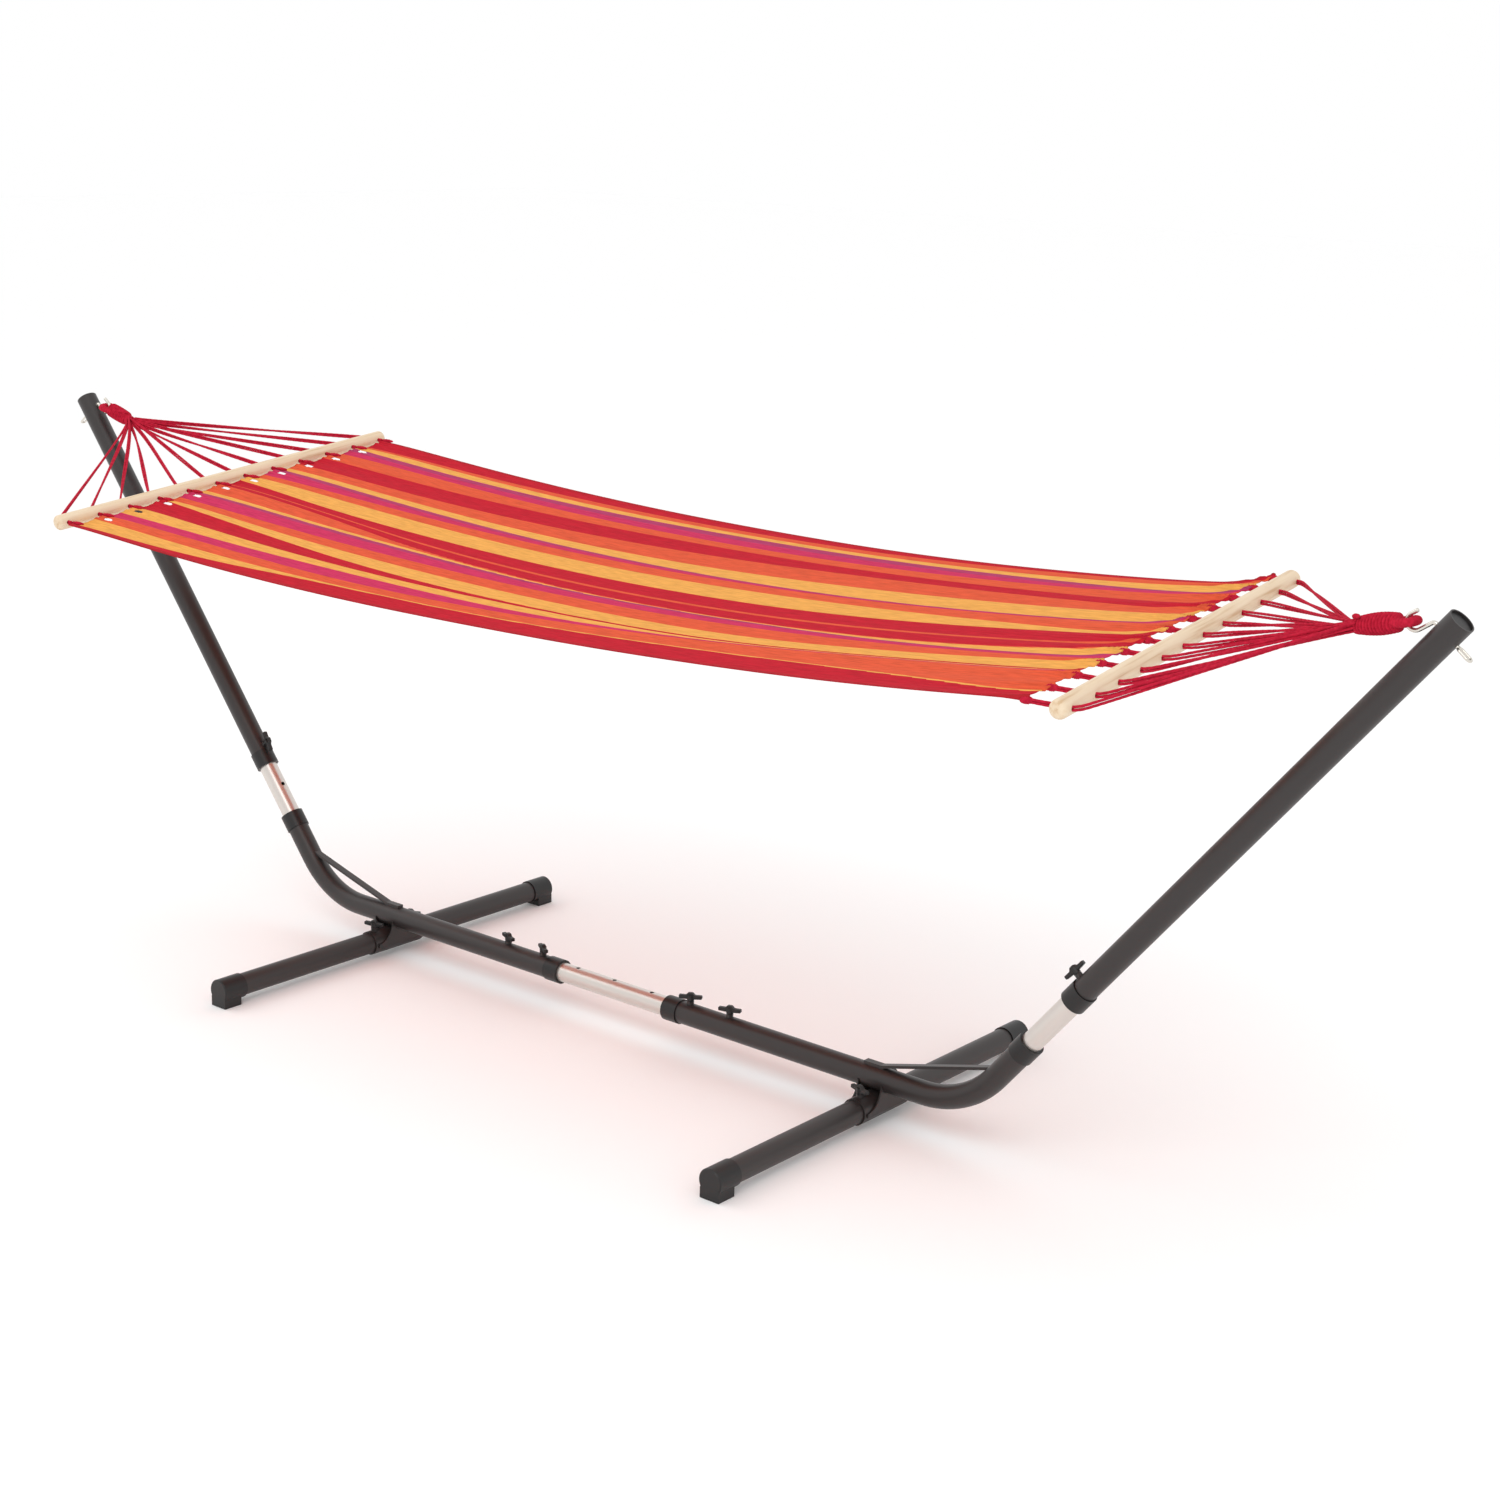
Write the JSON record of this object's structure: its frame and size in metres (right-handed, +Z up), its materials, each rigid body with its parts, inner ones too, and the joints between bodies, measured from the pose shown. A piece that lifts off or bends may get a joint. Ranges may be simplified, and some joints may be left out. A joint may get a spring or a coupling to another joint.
{
  "type": "hammock on stand",
  "caption": "Striped cotton hammock with wooden spreader bars, hung on a telescopic bent steel stand with cross legs, hand knobs and wire hooks.",
  "frame": {"origin": "on the ground, under the middle of the rail", "axes": "+X along the rail towards the right post, +Y to the rear legs, +Z up"},
  "size_m": [3.395, 0.944, 1.1108],
  "materials": {
    "painted_steel": "satin dark grey-brown powder coat",
    "plated_steel": "plain zinc-plated tube, satin",
    "zinc_steel": "bright zinc plate",
    "black_plastic": "matt moulded plastic",
    "beech": "clear-varnished light wood",
    "red_cotton_cord": "twisted and whipped cotton cord",
    "striped_cotton": "woven cotton with lengthwise stripes"
  },
  "bodies": {
    "middle_tube": {"centre_tube": "plated_steel"},
    "left_base": {"left_bend_tube": "painted_steel", "left_riser_tube": "plated_steel", "left_rail_collar": "black_plastic", "left_riser_collar": "black_plastic", "left_cross_sleeve": "painted_steel", "left_saddle_plates": "painted_steel", "left_brace": "painted_steel", "left_base_weld_nuts": "zinc_steel"},
    "left_upright": {"left_post": "painted_steel", "left_post_collar": "black_plastic", "left_post_plug": "black_plastic", "left_hook": "zinc_steel", "left_post_weld_nut": "zinc_steel"},
    "left_front_foot": {"left_front_leg": "painted_steel", "left_front_foot_cap": "black_plastic"},
    "left_rear_foot": {"left_rear_leg": "painted_steel", "left_rear_foot_cap": "black_plastic"},
    "left_rail_inner_knob": {"left_rail_inner_knob": "black_plastic"},
    "left_rail_outer_knob": {"left_rail_outer_knob": "black_plastic"},
    "left_front_sleeve_knob": {"left_front_sleeve_knob": "black_plastic"},
    "left_rear_sleeve_knob": {"left_rear_sleeve_knob": "black_plastic"},
    "left_post_knob": {"left_post_knob": "black_plastic"},
    "right_base": {"right_bend_tube": "painted_steel", "right_riser_tube": "plated_steel", "right_rail_collar": "black_plastic", "right_riser_collar": "black_plastic", "right_cross_sleeve": "painted_steel", "right_saddle_plates": "painted_steel", "right_brace": "painted_steel", "right_base_weld_nuts": "zinc_steel"},
    "right_upright": {"right_post": "painted_steel", "right_post_collar": "black_plastic", "right_post_plug": "black_plastic", "right_hook": "zinc_steel", "right_post_weld_nut": "zinc_steel"},
    "right_front_foot": {"right_front_leg": "painted_steel", "right_front_foot_cap": "black_plastic"},
    "right_rear_foot": {"right_rear_leg": "painted_steel", "right_rear_foot_cap": "black_plastic"},
    "right_rail_inner_knob": {"right_rail_inner_knob": "black_plastic"},
    "right_rail_outer_knob": {"right_rail_outer_knob": "black_plastic"},
    "right_front_sleeve_knob": {"right_front_sleeve_knob": "black_plastic"},
    "right_rear_sleeve_knob": {"right_rear_sleeve_knob": "black_plastic"},
    "right_post_knob": {"right_post_knob": "black_plastic"},
    "hammock": {"cloth": "striped_cotton", "left_spreader_bar": "beech", "left_eye": "red_cotton_cord", "left_cords": "red_cotton_cord", "right_spreader_bar": "beech", "right_eye": "red_cotton_cord", "right_cords": "red_cotton_cord"}
  },
  "joints": [
    {"name": "left_post_height", "type": "slide", "parent": "left_base", "child": "left_upright", "axis": [-0.6293, 0, 0.7771], "range_m": [-0.1, 0.2]},
    {"name": "right_post_height", "type": "slide", "parent": "right_base", "child": "right_upright", "axis": [0.6293, 0, 0.7771], "range_m": [-0.1, 0.2]},
    {"name": "left_base_slide", "type": "slide", "parent": "middle_tube", "child": "left_base", "axis": [-1, 0, 0], "range_m": [-0.12587, 0.06294]},
    {"name": "right_base_slide", "type": "slide", "parent": "middle_tube", "child": "right_base", "axis": [1, 0, 0], "range_m": [-0.12587, 0.06294]},
    {"name": "hammock_swing", "type": "hinge", "parent": "left_upright", "child": "hammock", "pos_m": [-1.60082, 0, 1.08413], "axis": [1, 0, 0], "range_deg": [-25, 25]},
    {"name": "left_front_leg_slide", "type": "slide", "parent": "left_base", "child": "left_front_foot", "axis": [0, -1, 0], "range_m": [0, 0.045]},
    {"name": "left_front_sleeve_knob_turn", "type": "hinge", "parent": "left_base", "child": "left_front_sleeve_knob", "pos_m": [-0.655, -0.052, 0.033], "axis": [0, 0, 1], "range_deg": [0, 720]},
    {"name": "left_rear_leg_slide", "type": "slide", "parent": "left_base", "child": "left_rear_foot", "axis": [0, 1, 0], "range_m": [0, 0.045]},
    {"name": "left_rear_sleeve_knob_turn", "type": "hinge", "parent": "left_base", "child": "left_rear_sleeve_knob", "pos_m": [-0.655, 0.052, 0.033], "axis": [0, 0, 1], "range_deg": [0, 720]},
    {"name": "left_rail_inner_knob_turn", "type": "hinge", "parent": "left_base", "child": "left_rail_inner_knob", "pos_m": [-0.2, 0, 0.0809], "axis": [0, 0, 1], "range_deg": [0, 720]},
    {"name": "left_rail_outer_knob_turn", "type": "hinge", "parent": "left_base", "child": "left_rail_outer_knob", "pos_m": [-0.3, 0, 0.0809], "axis": [0, 0, 1], "range_deg": [0, 720]},
    {"name": "left_post_knob_turn", "type": "hinge", "parent": "left_upright", "child": "left_post_knob", "pos_m": [-1.08711, 0, 0.37], "axis": [0.7771, 0, 0.6293], "range_deg": [0, 720]},
    {"name": "right_front_leg_slide", "type": "slide", "parent": "right_base", "child": "right_front_foot", "axis": [0, -1, 0], "range_m": [0, 0.045]},
    {"name": "right_front_sleeve_knob_turn", "type": "hinge", "parent": "right_base", "child": "right_front_sleeve_knob", "pos_m": [0.655, -0.052, 0.033], "axis": [0, 0, 1], "range_deg": [0, 720]},
    {"name": "right_rear_leg_slide", "type": "slide", "parent": "right_base", "child": "right_rear_foot", "axis": [0, 1, 0], "range_m": [0, 0.045]},
    {"name": "right_rear_sleeve_knob_turn", "type": "hinge", "parent": "right_base", "child": "right_rear_sleeve_knob", "pos_m": [0.655, 0.052, 0.033], "axis": [0, 0, 1], "range_deg": [0, 720]},
    {"name": "right_rail_inner_knob_turn", "type": "hinge", "parent": "right_base", "child": "right_rail_inner_knob", "pos_m": [0.2, 0, 0.0809], "axis": [0, 0, 1], "range_deg": [0, 720]},
    {"name": "right_rail_outer_knob_turn", "type": "hinge", "parent": "right_base", "child": "right_rail_outer_knob", "pos_m": [0.3, 0, 0.0809], "axis": [0, 0, 1], "range_deg": [0, 720]},
    {"name": "right_post_knob_turn", "type": "hinge", "parent": "right_upright", "child": "right_post_knob", "pos_m": [1.08711, 0, 0.37], "axis": [-0.7771, 0, 0.6293], "range_deg": [0, 720]}
  ],
  "couplings": [
    {"joint": "right_post_height", "follows": "left_post_height", "ratio": 1},
    {"joint": "left_base_slide", "follows": "left_post_height", "ratio": -0.62932},
    {"joint": "right_base_slide", "follows": "left_post_height", "ratio": -0.62932}
  ]
}
